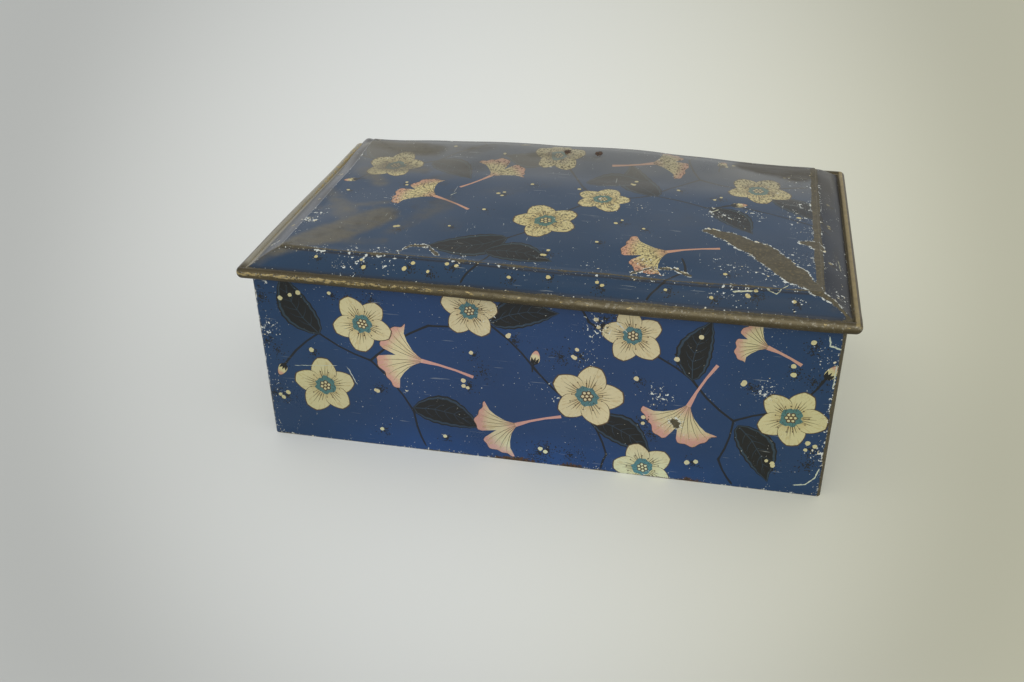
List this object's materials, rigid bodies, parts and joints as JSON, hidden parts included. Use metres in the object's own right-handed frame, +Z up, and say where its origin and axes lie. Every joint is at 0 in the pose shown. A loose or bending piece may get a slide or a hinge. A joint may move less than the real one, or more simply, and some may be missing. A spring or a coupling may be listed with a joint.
{
  "type": "recipe card box",
  "caption": "Rectangular hinged-lid box of printed tinplate for index cards, with a crowned lid, a rolled lid edge and a wire hinge.",
  "frame": {"origin": "middle of the rim that the box stands on", "axes": "+X to the right along the length, +Y to the back where the hinge is, +Z up"},
  "size_m": [0.2264, 0.1384, 0.0841],
  "materials": {
    "printed_tin": "printed and varnished, worn",
    "bare_tin": "dull tinplate",
    "steel_wire": "dull, some rust",
    "strap_tin": "dull tinplate, worn",
    "rivet_steel": "dull"
  },
  "bodies": {
    "box": {"body_wall": "printed_tin", "bottom_plate": "bare_tin", "hinge_wire": "steel_wire", "hinge_strap_left": "strap_tin", "hinge_strap_right": "strap_tin", "hinge_rivet_left_1": "rivet_steel", "hinge_rivet_left_2": "rivet_steel", "hinge_rivet_right_1": "rivet_steel", "hinge_rivet_right_2": "rivet_steel"},
    "lid": {"lid_shell": "printed_tin"}
  },
  "joints": [
    {"name": "lid_hinge", "type": "hinge", "parent": "box", "child": "lid", "pos_m": [0, 0.0673, 0.07496], "axis": [-1, 0, 0], "range_deg": [0, 105]}
  ]
}
